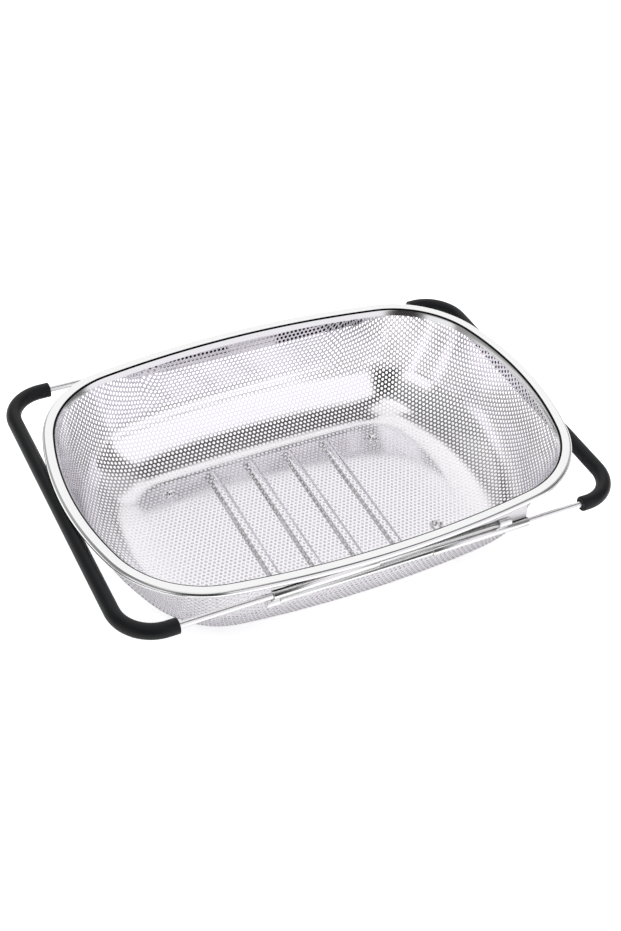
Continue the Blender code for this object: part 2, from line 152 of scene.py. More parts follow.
def add_node(tree: bpy.types.NodeTree, kind: str, inputs: dict | None = None, **settings: object) -> bpy.types.Node:
    """Adds a node with its settings, its input values and its links.

    Args:
        tree: The node tree that it goes in.
        kind: The node's type name.
        inputs: Values or output sockets by input name or number.
        **settings: Properties of the node itself.

    Returns:
        The new node.
    """
    node = tree.nodes.new(kind)
    for name, value in settings.items():
        setattr(node, name, value)
    set_inputs(node, inputs or {})
    return node


def empty_tree(owner: bpy.types.Material | bpy.types.World) -> bpy.types.NodeTree:
    """Switches on the nodes of a material or world.

    Args:
        owner: The material or world.

    Returns:
        Its node tree, emptied.
    """
    owner.use_nodes = True
    owner.node_tree.nodes.clear()
    return owner.node_tree


def add_object(name: str, data: bpy.types.ID) -> bpy.types.Object:
    """Puts a mesh, lamp or camera in the scene.

    Args:
        name: The new object's name.
        data: What it shows.

    Returns:
        The new object.
    """
    piece = bpy.data.objects.new(name, data)
    bpy.context.scene.collection.objects.link(piece)
    return piece


def make_mesh(name: str, points: Array, faces: Array | list[Array], normals: Array | None = None) -> bpy.types.Object:
    """Makes a smooth-shaded object.

    Args:
        name: Its name.
        points: Its points in millimetres, one row each.
        faces: Point numbers of each face, counterclockwise from outside.
        normals: The direction that shades each point, where its faces don't give it.

    Returns:
        The new object.
    """
    mesh = bpy.data.meshes.new(name)
    mesh.vertices.add(len(points))
    mesh.vertices.foreach_set("co", (np.asarray(points) * MM).ravel())
    corners = np.concatenate(faces).astype(np.int32)
    mesh.loops.add(len(corners))
    mesh.loops.foreach_set("vertex_index", corners)
    mesh.polygons.add(len(faces))
    mesh.polygons.foreach_set("loop_start", running_total([*map(len, faces[:-1])]).astype(np.int32))
    mesh.update(calc_edges=True)
    mesh.shade_smooth()
    if normals is not None:
        mesh.normals_split_custom_set_from_vertices(normals)
    return add_object(name, mesh)


def bridge(low: Array, high: Array) -> Array:
    """Joins rings of points with quads.

    Args:
        low: Point numbers, a ring in each row.
        high: Those of the rings that they are joined to.

    Returns:
        The point numbers of each quad.
    """
    return np.stack([low, np.roll(low, -1, 1), np.roll(high, -1, 1), high], axis=2).reshape(-1, 4)


def loft(name: str, rings: Array, closed: bool = False) -> bpy.types.Object:
    """Joins rings of points into a closed skin that faces outwards.

    Args:
        name: The new object's name.
        rings: Points in millimetres, of shape rings by points by 3.
        closed: Whether the last ring joins the first. Otherwise each end gets a cap.

    Returns:
        The new object.
    """
    numbers = np.arange(rings.shape[0] * rings.shape[1]).reshape(rings.shape[:2])
    if closed:
        faces = bridge(numbers, np.roll(numbers, -1, 0))
    else:
        faces = [*bridge(numbers[:-1], numbers[1:]), numbers[0, ::-1], numbers[-1]]
    piece = make_mesh(name, rings.reshape(-1, 3), faces)
    solid = bmesh.new()
    solid.from_mesh(piece.data)
    if solid.calc_volume(signed=True) < 0:
        piece.data.flip_normals()
    solid.free()
    return piece


def fillet(corner: Pair, before: Pair, after: Pair, radius: float, steps: int) -> list[Pair]:
    """Rounds one corner of a flat outline.

    Args:
        corner: The sharp corner.
        before: The point that the outline comes from.
        after: The point that it goes to.
        radius: How far the rounding starts from the corner along each side.
        steps: How many stretches it has.

    Returns:
        The points that take the corner's place.
    """
    middle = Vector(corner)
    start, end = (middle + (Vector(point) - middle).normalized() * radius for point in (before, after))
    shares = (k / steps for k in range(steps + 1))
    return [tuple(start * (1 - s) ** 2 + middle * 2 * s * (1 - s) + end * s**2) for s in shares]


# Outlines


@dataclass(frozen=True)
class BowedOutline:
    """A rectangle whose sides and ends bow outwards, with corner arcs tangent to them.

    Attributes:
        half_length: From its middle to an end.
        half_width: From its middle to a side.
        side_bow: Radius of the long sides.
        end_bow: Radius of the ends.
        corner: Radius of the corners.
    """

    half_length: float
    half_width: float
    side_bow: float
    end_bow: float
    corner: float

    def inset(self, depth: float) -> "BowedOutline":
        """Returns the outline at an even distance inside this one."""
        return BowedOutline(*(size - depth for size in astuple(self)))

    def arcs(self) -> list[tuple[Array, float, float, float]]:
        """Finds the arcs of the first quarter, from the end's middle to the side's middle.

        Returns:
            The centre, radius, first angle and last angle of the end, corner and side arcs.
        """
        side_centre = np.array([0.0, self.half_width - self.side_bow])
        end_centre = np.array([self.half_length - self.end_bow, 0.0])
        to_side, to_end = self.side_bow - self.corner, self.end_bow - self.corner
        between = end_centre - side_centre
        apart = float(np.hypot(*between))
        along = (apart**2 + to_side**2 - to_end**2) / (2 * apart)
        across = math.sqrt(to_side**2 - along**2)
        forward = between / apart
        corner_centre = side_centre + along * forward + across * np.array([forward[1], -forward[0]])
        end_turn = math.atan2(*(corner_centre - end_centre)[::-1])
        side_turn = math.atan2(*(corner_centre - side_centre)[::-1])
        return [
            (end_centre, self.end_bow, 0.0, end_turn),
            (corner_centre, self.corner, end_turn, side_turn),
            (side_centre, self.side_bow, side_turn, math.pi / 2),
        ]

    def knots(self) -> Array:
        """Returns the distances along the first quarter at which its three arcs start and end."""
        return running_total([radius * (end - start) for _, radius, start, end in self.arcs()])

    def place(self, runs: Array) -> tuple[Array, Array]:
        """Finds points on the first quarter.

        Args:
            runs: Distances along it from the end's middle.

        Returns:
            The points and the outward directions there.
        """
        knots = self.knots()
        which = np.clip(np.searchsorted(knots, runs, side="right") - 1, 0, 2)
        centres, radii, firsts, _ = (np.array(column)[which] for column in zip(*self.arcs()))
        turns = firsts + (runs - knots[which]) / radii
        outward = directions(turns)
        return centres + radii[:, None] * outward, outward

    def locate(self, points: Array) -> tuple[Array, Array]:
        """Finds the nearest place on the first quarter.

        Args:
            points: Flat points of the first quarter.

        Returns:
            Distances along the outline, and distances outside it.
        """
        knots = self.knots()
        found = []
        for (centre, radius, start, _), knot in zip(self.arcs(), knots):
            step = points - centre
            turn = np.arctan2(step[:, 1], step[:, 0])
            found.append((turn, knot + radius * (turn - start), np.hypot(step[:, 0], step[:, 1]) - radius))
        turns, runs, outside = zip(*found)
        end_turn, side_turn = (arc[3] for arc in self.arcs()[:2])
        at_end, at_corner = turns[0] <= end_turn, (turns[1] >= end_turn) & (turns[1] <= side_turn)
        runs, outside = (np.select([at_end, at_corner], values[:2], values[2]) for values in (runs, outside))
        return np.clip(runs, 0, knots[-1]), outside

    def ring(self, count: int) -> tuple[Array, Array]:
        """Spaces points evenly all the way round.

        Args:
            count: How many, a multiple of four.

        Returns:
            The points and the outward directions there.
        """
        share = np.arange(count // 4) / (count // 4)
        length = self.knots()[-1]
        ahead, back = self.place(share * length), self.place((1 - share) * length)
        signs = [(1, 1), (-1, 1), (-1, -1), (1, -1)]
        quarters = [ahead, back, ahead, back]
        points, outward = zip(*((p * s, n * s) for (p, n), s in zip(quarters, np.array(signs))))
        return np.concatenate(points), np.concatenate(outward)


RIM_OUTLINE = BowedOutline(half_length=180.0, half_width=125.0, side_bow=690.0, end_bow=223.0, corner=75.5)
FLOOR_OUTLINE = BowedOutline(half_length=114.195, half_width=63.295, side_bow=3000.0, end_bow=110.0, corner=24.5)


# Finishes


class Make(Enum):
    """How a surface was made, with its roughness beside its patches and in them."""

    MIRROR_POLISHED = (0.12, 0.18)
    PRESSED_AND_POLISHED = (0.11, 0.17)
    DRAWN = (0.2, 0.3)
    # dull: roughness of the steel that is painted near-black as painted shade and a painted dark reflection
    UNPOLISHED = (0.5, 0.38)
    EXTRUDED = (0.38, 0.5)


@dataclass(frozen=True)
class Finish:
    """What a surface is made of and how, with the patches and the fine relief that this leaves.

    Attributes:
        name: The material's name.
        slot: The material slot of the record; not used.
        make: How the surface was made.
        colour: sRGB hex colour of the bare surface.
        worn: sRGB hex colour in the patches, where it differs.
        patch_size: Size of the patches, in millimetres.
        patch_detail: How broken up they are.
        patch_span: Strengths of the pattern at which they start and are full.
        relief_size: Size of the waviness or pebbling in millimetres, or 0 for none.
        relief_detail: How broken up it is.
        relief_depth: Its depth, in millimetres.
        relief_strength: How strongly it shows.
        constants: Shader inputs that are the same all over the surface.
    """

    name: str
    slot: str
    make: Make
    colour: str = "f6f6f6"
    worn: str | None = None
    patch_size: float = 22.0
    patch_detail: float = 3.0
    patch_span: Pair = (0.3, 0.7)
    relief_size: float = 9.0
    relief_detail: float = 2.0
    relief_depth: float = 0.004
    relief_strength: float = 1.0
    constants: tuple[tuple[str, float], ...] = (("Metallic", 1.0),)

    def material(self) -> bpy.types.Material:
        """Builds the material.

        Returns:
            The new material.
        """
        material = bpy.data.materials.new(self.name)
        material.use_nodes = True
        tree = material.node_tree
        where = add_node(tree, "ShaderNodeTexCoord").outputs["Object"]
        patches, *relief = (
            add_node(tree, "ShaderNodeTexNoise", {"Vector": where, "Scale": 1 / (size * MM), "Detail": detail})
            for size, detail in ((self.patch_size, self.patch_detail), (self.relief_size, self.relief_detail))
            if size
        )
        start, end = self.patch_span
        low, high = self.make.value
        strength = patches.outputs["Fac"]
        span = {"Value": strength, "From Min": start, "From Max": end, "To Min": low, "To Max": high}
        haze = add_node(tree, "ShaderNodeMapRange", span)
        inputs = {**dict(self.constants), "Base Color": linear(self.colour), "Roughness": haze.outputs["Result"]}
        if self.worn:
            colours = {"Factor": strength, "A": linear(self.colour), "B": linear(self.worn)}
            inputs["Base Color"] = add_node(tree, "ShaderNodeMix", colours, data_type="RGBA").outputs["Result"]
        for noise in relief:
            height = {"Height": noise.outputs["Fac"]}
            height |= {"Strength": self.relief_strength, "Distance": self.relief_depth * MM}
            inputs["Normal"] = add_node(tree, "ShaderNodeBump", height).outputs["Normal"]
        set_inputs(tree.nodes["Principled BSDF"], inputs)
        return material


@dataclass
class Finishes:
    """The object's materials, each made once.

    Attributes:
        rim: Folded rim band.
        sheet: Perforated basket sheet.
        wire: Handle wires, guide tubes, ferrules and core wire.
        crease: Steel painted near-black as painted shade and a painted dark reflection: the dark line along the rim's
            knee and the guide tubes' sides that face the basket.
        rubber: Grips.
        made: The materials by name.
    """

    # Type 304 stainless steel, whose polish leaves a slight haze and a fine waviness.
    rim: Finish = Finish("polished_rim_steel", "polished_stainless", Make.MIRROR_POLISHED)
    sheet: Finish = Finish(
        "pressed_sheet_steel", "perforated_stainless", Make.PRESSED_AND_POLISHED, "f9f6fb", relief_size=6.0
    )
    wire: Finish = Finish("drawn_wire_steel", "drawn_stainless_wire", Make.DRAWN, relief_size=4.0)
    # The same steel painted near-black and dull, a painted dark reflection and painted shade, a little paler in random
    # patches.
    crease: Finish = Finish(
        "unpolished_crease_steel",
        "polished_stainless",
        Make.UNPOLISHED,
        "101012",
        "262628",
        patch_size=18.0,
        patch_detail=4.0,
        patch_span=(0.0, 1.0),
        relief_size=0.0,
    )
    # Black synthetic rubber: satin, with a fine pebbling and pale dust in it. Its open pores swallow most of the sheen.
    rubber: Finish = Finish(
        "black_rubber_tube",
        "black_rubber",
        Make.EXTRUDED,
        "0f1012",
        "191a1c",
        patch_size=14.0,
        patch_detail=4.0,
        patch_span=(0.0, 1.0),
        relief_size=0.5,
        relief_depth=0.03,
        relief_strength=0.5,
        constants=(("IOR", 1.52), ("Specular IOR Level", 0.22)),
    )
    made: dict[str, bpy.types.Material] = field(default_factory=dict)

    def dress(self, piece: bpy.types.Object, *coats: Finish) -> None:
        """Gives a piece its materials.

        Args:
            piece: The piece.
            *coats: Its main finish, and those of single faces.
        """
        piece.data.materials.clear()
        for finish in coats:
            if finish.name not in self.made:
                self.made[finish.name] = finish.material()
            piece.data.materials.append(self.made[finish.name])


# Basket


@dataclass
class PressedRelief:
    """The four ribs pressed up across the floor and the four feet pressed down.

    Attributes:
        rib_pitch: Between neighbouring ribs.
        rib_width: Across a rib's foot.
        rib_flatness: Power of its section, which is flatter on top the higher it is.
        rib_height: Of its crown above the floor.
        rib_end: From the middle to the centre of its round end.
        foot_x: Of a foot's middle.
        foot_y: Of a foot's middle.
        foot_depth: How far it's pressed down.
        foot_flat: Radius of its flat.
        foot_top: Radius where it leaves the floor.
        softness: How far the pressed edges are eased.
    """

    rib_pitch: float = 31.3
    rib_width: float = 9.0
    rib_flatness: float = 3.4
    rib_height: float = 2.1
    rib_end: float = 60.0
    foot_x: float = 82.795
    foot_y: float = 50.495
    foot_depth: float = 2.2
    foot_flat: float = 1.0
    foot_top: float = 5.6
    softness: float = 0.8

    def height(self, x: Array, y: Array) -> Array:
        """Finds the relief above the plain sheet.

        Args:
            x: Distances from the middle along the basket, not negative.
            y: Distances from the middle across it, not negative.

        Returns:
            Heights, negative in the feet.
        """
        past_end = np.maximum(y - self.rib_end, 0)
        across = np.minimum(np.abs(x - self.rib_pitch / 2), np.abs(x - 1.5 * self.rib_pitch))
        away = np.hypot(across, past_end)
        crown = self.rib_height * (1 - (2 * away / self.rib_width) ** self.rib_flatness)
        ease = np.maximum(self.softness - np.abs(crown), 0)
        ribs = np.maximum(crown, 0) + ease**2 / (4 * self.softness)
        from_foot = np.hypot(x - self.foot_x, y - self.foot_y)
        share = np.clip((self.foot_top - from_foot) / (self.foot_top - self.foot_flat), 0, 1)
        return ribs - self.foot_depth * share * share * (3 - 2 * share)

    def slope(self, x: Array, y: Array) -> tuple[Array, Array]:
        """Finds how steeply the relief rises along and across the basket."""
        step = 0.02  # short beside the softness of the edges
        along = (self.height(x + step, y) - self.height(np.abs(x - step), y)) / (2 * step)
        across = (self.height(x, y + step) - self.height(x, np.abs(y - step))) / (2 * step)
        return along, across


@dataclass
class DrawnForm:
    """How the flat perforated blank was drawn into the basket's shape.

    A blank point outside the flat floor keeps its place along the floor's edge, and moves up the wall
    as far as the sheet's area allows, so the holes stretch upwards near the corners.

    Attributes:
        floor: Edge of the flat floor.
        mouth: Inner face of the wall's top edge.
        floor_level: Of the floor's upper face.
        mouth_level: Of the wall's top edge.
        bend_radius: Between the floor and the wall.
        hem_slope: From level, of the edge that the rim holds, in degrees.
        hem_straight: Length of the hem before it follows the rim's knee.
        knee_radius: Of the hem inside the rim's knee.
        relief: Ribs and feet.
        rays: How many lines outwards from the floor's edge are worked out in a quarter.
        steps: How many places on each.
        reach: How far out the lines run.
        depth: How far into the blank outside the floor the tables reach.
        rows: How many places of the blank along that.
        edge_steps: How many places of the floor's edge are matched with the wall's top edge.
        bend_spread: How far the turn of the floor's edge is evened out.
        match_spread: How far the matching of the two edges is evened out.
    """

    floor: BowedOutline = FLOOR_OUTLINE
    mouth: BowedOutline = RIM_OUTLINE.inset(9.705)
    floor_level: float = 2.7
    mouth_level: float = 73.57
    bend_radius: float = 48.0
    hem_slope: float = 62.0
    hem_straight: float = 3.3
    knee_radius: float = 2.1
    relief: PressedRelief = field(default_factory=PressedRelief)
    rays: int = 380
    steps: int = 520
    reach: float = 64.0
    depth: float = 112.0
    rows: int = 460
    edge_steps: int = 900
    bend_spread: float = 7.0
    match_spread: float = 6.0

    def __post_init__(self) -> None:
        """Works out the tables that the blank is looked up in."""
        self.runs = np.linspace(0, self.floor.knots()[-1], self.rays)
        starts, outward = self.floor.place(self.runs)
        low, high = self._matched_lines()
        reach = np.linspace(0, self.reach, self.steps)
        bend = self._smooth(self.runs, self._curvature(self.runs), self.bend_spread)
        self.depths = np.linspace(0, self.depth, self.rows)
        self.grid = np.zeros((self.rays, self.rows, 3))
        self.edge = np.zeros(self.rays)
        for k in range(self.rays):
            level, inwards = self._surface(starts[k] + reach[:, None] * outward[k], low, high)
            climb = running_total(np.hypot(np.diff(reach), np.diff(level)))
            width = 1 + bend[k] * reach
            area = running_total((width[1:] + width[:-1]) / 2 * np.diff(climb))
            depth = (np.sqrt(1 + 2 * bend[k] * area) - 1) / bend[k]
            gone = np.interp(self.depths, depth, reach)
            self.grid[k, :, :2] = starts[k] + gone[:, None] * outward[k]
            self.grid[k, :, 2] = np.interp(self.depths, depth, level)
            self.edge[k] = np.interp(0, -inwards, depth)
        self.normals = unit(np.cross(np.gradient(self.grid, axis=1), np.gradient(self.grid, axis=0)))

    def _curvature(self, runs: Array) -> Array:
        """Returns how sharply the floor's edge turns at each distance along it."""
        past = np.searchsorted(self.floor.knots()[1:3], runs, side="right")
        return 1 / np.array([self.floor.end_bow, self.floor.corner, self.floor.side_bow])[past]

    @staticmethod
    def _smooth(runs: Array, values: Array, spread: float) -> Array:
        """Evens out values along a quarter, whose neighbours mirror it.

        Args:
            runs: Evenly spaced distances.
            values: A value at each.
            spread: How far the evening reaches, in millimetres.

        Returns:
            The evened values.
        """
        step = runs[1] - runs[0]
        half = int(3 * spread / step)  # the bell curve has faded out after three spreads
        weights = np.exp(-0.5 * (np.arange(-half, half + 1) * step / spread) ** 2)
        padded = np.pad(values, half, mode="reflect")
        return np.convolve(padded, weights / weights.sum(), mode="valid")

    def _matched_lines(self) -> tuple[Array, Array]:
        """Matches the floor's edge with the wall's top edge, arc by arc.

        Returns:
            Points of the floor's edge and the points of the wall's top edge that belong to them.
        """
        runs = np.linspace(0, self.floor.knots()[-1], self.edge_steps)
        matched = np.interp(runs, self.floor.knots(), self.mouth.knots())
        slant = self._smooth(runs, np.gradient(matched, runs), self.match_spread)
        eased = running_total((slant[1:] + slant[:-1]) / 2 * np.diff(runs))
        eased *= self.mouth.knots()[-1] / eased[-1]
        return self.floor.place(runs)[0], self.mouth.place(eased)[0]

    def _surface(self, flat: Array, low: Array, high: Array) -> tuple[Array, Array]:
        """Finds the wall's level over flat points.

        Args:
            flat: Points of the first quarter outside the floor's edge.
            low: Points of the floor's edge.
            high: Points of the wall's top edge that belong to them.

        Returns:
            Levels, and distances inwards from the wall's top edge, negative in the hem.
        """
        line = high - low
        step = flat[:, None, :] - low[None, :, :]
        side = line[None, :, 0] * step[:, :, 1] - line[None, :, 1] * step[:, :, 0]
        first = np.clip((side > 0).sum(axis=1) - 1, 0, len(low) - 2)
        rows = np.arange(len(flat))
        before, after = side[rows, first], side[rows, first + 1]
        share = np.clip(before / np.where(before == after, 1, before - after), 0, 1)[:, None]
        foot, top = (mix(edge[first], edge[first + 1], share) for edge in (low, high))
        spread = np.hypot(*(top - foot).T)
        inwards = spread - np.hypot(*(flat - foot).T)
        return self._level(inwards, spread), inwards

    def _level(self, inwards: Array, spread: Array) -> Array:
        """Finds the level of the wall's inner face.

        Args:
            inwards: Distance from the wall's top edge, negative in the hem.
            spread: How far the whole wall runs inwards there.

        Returns:
            The levels.
        """
        rise = self.mouth_level - self.floor_level - self.bend_radius
        reach = np.hypot(spread, rise)
        lean = np.arctan2(spread, rise) - np.arcsin(self.bend_radius / reach)
        straight = np.sqrt(reach**2 - self.bend_radius**2)
        turn = np.clip((spread - inwards) / self.bend_radius, 0, 1)
        wall = inwards / np.tan(lean)
        bend = rise + self.bend_radius * np.sqrt(1 - turn**2)
        drop = np.where(inwards < straight * np.sin(lean), wall, bend)
        slope = math.radians(self.hem_slope)
        out = -inwards
        knee_out = self.hem_straight * math.cos(slope) + self.knee_radius * math.sin(slope)
        knee_rise = self.hem_straight * math.sin(slope) - self.knee_radius * math.cos(slope)
        short = np.maximum(knee_out - out, 0)
        knee = knee_rise + np.sqrt(np.maximum(self.knee_radius**2 - short**2, 0))
        hem = np.where(out < self.hem_straight * math.cos(slope), out * math.tan(slope), knee)
        return self.mouth_level + np.where(inwards < 0, hem, -drop)

    def _look_up(self, table: Array, run: Array, depth: Array) -> Array:
        """Reads a table between its places.

        Args:
            table: A row of values for each of its places.
            run: Distances along the floor's edge.
            depth: Distances into the blank outside it.

        Returns:
            A row of values for each point.
        """
        almost = 1 - 1e-6  # keeps the last place inside the table
        across = np.clip(run / self.runs[-1] * (self.rays - 1), 0, self.rays - 2 + almost)
        down = np.clip(depth / self.depths[-1] * (self.rows - 1), 0, self.rows - 2 + almost)
        i, j = across.astype(int), down.astype(int)
        s, t = (across - i)[:, None], (down - j)[:, None]
        near, far = (mix(table[row, j], table[row, j + 1], t) for row in (i, i + 1))
        return mix(near, far, s)

    def form(self, blank: Array) -> tuple[Array, Array]:
        """Draws points of the flat blank into the basket's inner face.

        Args:
            blank: Flat points.

        Returns:
            Points on the inner face, and its directions towards the basket's inside.
        """
        signs = np.where(blank < 0, -1.0, 1.0)
        folded = np.abs(blank)
        run, depth = self.floor.locate(folded)
        flat = depth <= 0
        points = self._look_up(self.grid, run, depth)
        normals = self._look_up(self.normals, run, depth)
        points[flat, :2] = folded[flat]
        points[flat, 2] = self.floor_level
        normals[flat] = (0, 0, 1)
        x, y = folded.T
        along, across = self.relief.slope(x, y)
        points = points + normals * self.relief.height(x, y)[:, None]
        normals = normals - np.stack([along, across, np.zeros_like(x)], axis=1)
        points[:, :2] *= signs
        normals[:, :2] *= signs
        return points, unit(normals)

    def held(self, blank: Array, spare: float) -> Array:
        """Tells which places of the blank are part of the basket.

        Args:
            blank: Flat points.
            spare: How far past the wall's top edge the sheet still runs, in millimetres of blank.

        Returns:
            True for each point that is.
        """
        run, depth = self.floor.locate(np.abs(blank))
        return depth <= np.interp(run, self.runs, self.edge) + spare


@dataclass
class PerforatedBasket:
    """The pressed basket, with every hole punched through its sheet.

    Attributes:
        pitch: Between the middles of neighbouring holes.
        hole_radius: Of a hole in the flat blank.
        sheet: Thickness of the sheet.
        facets: Sides of a hole, a multiple of 12.
        panels: How many pieces the sheet's mesh is split into, which meet without a seam.
        rows: How many rows of holes are tried on each side of the middle one.
        columns: How many holes are tried on each side of a row's middle.
        spare: How far past the wall's top edge holes are still punched, in pitches.
        welds: How many steps a millimetre has when shared border points are found.
        shape: How the blank is drawn.
    """

    pitch: float = 3.34
    hole_radius: float = 1.1
    sheet: float = 0.5
    facets: int = 12
    panels: int = 6
    rows: int = 60
    columns: int = 75
    spare: float = 0.55
    welds: int = 200
    shape: DrawnForm = field(default_factory=DrawnForm)

    def hole_places(self) -> Array:
        """Lists the holes of the flat blank, in straight rows along the basket.

        Returns:
            The middles of the holes.
        """
        rows = np.arange(-self.rows, self.rows + 1)[:, None]
        x = (np.arange(-self.columns, self.columns + 1) + (rows % 2) / 2) * self.pitch
        y = np.broadcast_to(rows * (self.pitch * math.sqrt(3) / 2), x.shape)
        places = np.stack([x.ravel(), y.ravel()], axis=1)
        return places[self.shape.held(places, self.spare * self.pitch)]

    def panel(self, name: str, places: Array) -> bpy.types.Object:
        """Builds the sheet round some of the holes.

        Args:
            name: The new object's name.
            places: Middles of the holes in the flat blank.

        Returns:
            The new object, with its inner face, its outer face and the walls of its holes.
        """
        turns = whole_turn(self.facets)
        spokes = directions(turns)
        corner = np.abs((np.degrees(turns) + 30) % 60 - 30)  # degrees from the middle of the hexagon's side
        border = self.pitch / 2 / np.cos(np.radians(corner))
        cells = (places[:, None, :] + border[None, :, None] * spokes).reshape(-1, 2)
        keys = np.round(cells * self.welds).astype(np.int64)
        keys, first, number = np.unique(keys, axis=0, return_index=True, return_inverse=True)
        holes = (places[:, None, :] + self.hole_radius * spokes[None]).reshape(-1, 2)
        border_points, border_normals = self.shape.form(cells[first])
        hole_points, hole_normals = self.shape.form(holes)
        middles = np.repeat(self.shape.form(places)[0], self.facets, axis=0)
        inwards = middles - hole_points
        inwards = unit(inwards - hole_normals * (inwards * hole_normals).sum(axis=1, keepdims=True))
        count, rim = len(keys), len(holes)
        upper = np.concatenate([border_points, hole_points])
        upward = np.concatenate([border_normals, hole_normals])
        lower = upper - self.sheet * upward
        points = np.concatenate([upper, lower, hole_points, lower[count:]])
        normals = np.concatenate([upward, -upward, inwards, inwards])
        bore = np.arange(rim).reshape(len(places), self.facets)
        face = bridge(number.reshape(bore.shape), bore + count)
        wall = bridge(bore, bore + rim) + 2 * (count + rim)
        return make_mesh(name, points, np.concatenate([face, face[:, ::-1] + count + rim, wall]), normals)

    def build(self) -> list[bpy.types.Object]:
        """Builds the sheet's panels.

        Returns:
            The new objects.
        """
        places = self.hole_places()
        places = places[np.argsort(places[:, 0], kind="stable")]
        LOG.info("basket sheet: %d holes", len(places))
        shares = np.array_split(places, self.panels)
        return [self.panel(f"basket_sheet_{k + 1}", share) for k, share in enumerate(shares)]

    def dress(self, finishes: Finishes) -> None:
        """Builds and finishes the sheet, which stands for the basket's solid.

        Args:
            finishes: The object's materials.
        """
        for piece in self.build():
            finishes.dress(piece, finishes.sheet)
            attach(piece, "basket")
            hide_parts("basket_shell")


# Rim


@dataclass
class FoldedRim:
    """The polished band that is rolled outside and folded down over the basket's edge.

    Attributes:
        top: Level of its highest line.
        band: Width seen from above.
        sheet: Thickness of the band.
        roll: Radius of the outer roll.
        land: Width of its level part.
        knee: Radius between the level part and the inner slope.
        slope: Of its inner part, in degrees from level.
        crease: Where the knee's painted dark reflection line starts and ends, in degrees from level.
        facing_up: Normals that point at least this far up are the knee's, not the underside's.
        lip: Length of the underside.
        eased: Rounding of the band's two cut edges.
        stations: Points round the rim.
    """

    top: float = 78.5
    band: float = 10.5
    sheet: float = 0.6
    roll: float = 2.3
    land: float = 4.0
    knee: float = 3.0
    slope: float = 62.0
    crease: Pair = (15.0, 46.0)
    facing_up: float = 0.5
    lip: float = 5.8
    eased: float = 0.22
    stations: int = 560

    def skin(self, depth: float, steps: int) -> list[Pair]:
        """Runs along the band at a depth under its outer face.

        Args:
            depth: In millimetres.
            steps: Points on the knee, and half of those on the roll.

        Returns:
            Places as (inset, level), from the slope's lower edge over the roll to the lip's edge.
        """
        slope = math.radians(self.slope)
        knee_start = self.roll + self.land
        run = self.band - knee_start - self.knee * math.sin(slope)
        end_level = self.top - self.knee * (1 - math.cos(slope)) - run * math.tan(slope)
        knee, roll = (
            [(inset + radius * math.sin(turn), level + radius * math.cos(turn)) for turn in turns]
            for inset, level, radius, turns in (
                (knee_start, self.top - self.knee, self.knee - depth, np.linspace(slope, 0, steps + 1)),
                (self.roll, self.top - self.roll, self.roll - depth, np.linspace(0, -math.pi, 2 * steps + 1)),
            )
        )
        slope_end = (self.band - depth * math.sin(slope), end_level - depth * math.cos(slope))
        lip_end = (self.roll + self.lip, self.top - 2 * self.roll + depth)
        return [slope_end, *knee, (self.roll + self.land / 2, self.top - depth), *roll, lip_end]

    def section(self) -> list[Pair]:
        """Closes the band's section, its cut edges eased.

        Returns:
            Places as (inset, level) round the section.
        """
        outer, inner = self.skin(0, steps=12), self.skin(self.sheet, steps=6)
        slope_ends = [inner[1], inner[0], outer[0], outer[1]]
        lip_ends = [outer[-2], outer[-1], inner[-1], inner[-2]]
        slope_edge, lip_edge = (
            fillet(b, a, c, self.eased, steps=3) + fillet(c, b, d, self.eased, steps=3)
            for a, b, c, d in (slope_ends, lip_ends)
        )
        return slope_edge + outer[1:-1] + lip_edge + inner[-2:0:-1]

    def build(self) -> bpy.types.Object:
        """Sweeps the section round the rim.

        Returns:
            The new object.
        """
        points, outward = RIM_OUTLINE.ring(self.stations)
        rings = [
            np.column_stack([points - inset * outward, np.full(len(points), level)]) for inset, level in self.section()
        ]
        return loft("rim_band", np.array(rings), closed=True)

    def dress(self, finishes: Finishes) -> None:
        """Builds and finishes the rim and gives the wire inside it its material.

        Args:
            finishes: The object's materials.
        """
        band = self.build()
        finishes.dress(band, finishes.rim, finishes.crease)
        # the knee's faces that point up, inside where the knee starts, are painted near-black: a painted dark
        # reflection line
        low, high = (self.top - self.knee * (1 - math.cos(math.radians(turn))) for turn in self.crease[::-1])
        outline = RIM_OUTLINE.inset(self.roll + self.land)
        for face in band.data.polygons:
            if low < face.center.z / MM < high and face.normal.z > self.facing_up:
                flat = np.abs(np.array([face.center[:2]])) / MM
                face.material_index = int(outline.locate(flat)[1][0] < 0)
        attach(band, "basket")
        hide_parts("rim")
        finishes.dress(frame["nodes"]["rim_core_wire"], finishes.wire)


# Handles


class Way(Enum):
    """A direction along one axis, whose word stands in the pieces' names."""

    @property
    def word(self) -> str:
        """Returns the word."""
        return self.name.lower()


class Side(Way):
    """Which end of the basket a handle is at."""

    LEFT = -1
    RIGHT = 1


class Face(Way):
    """Which long side of the basket a rod runs along."""

    FRONT = -1
    BACK = 1


ROD_LEVELS = {Side.LEFT: 68.8, Side.RIGHT: 62.4}  # of the rods' axes
ROD_Y = 120.0  # from the basket's middle to a rod's axis


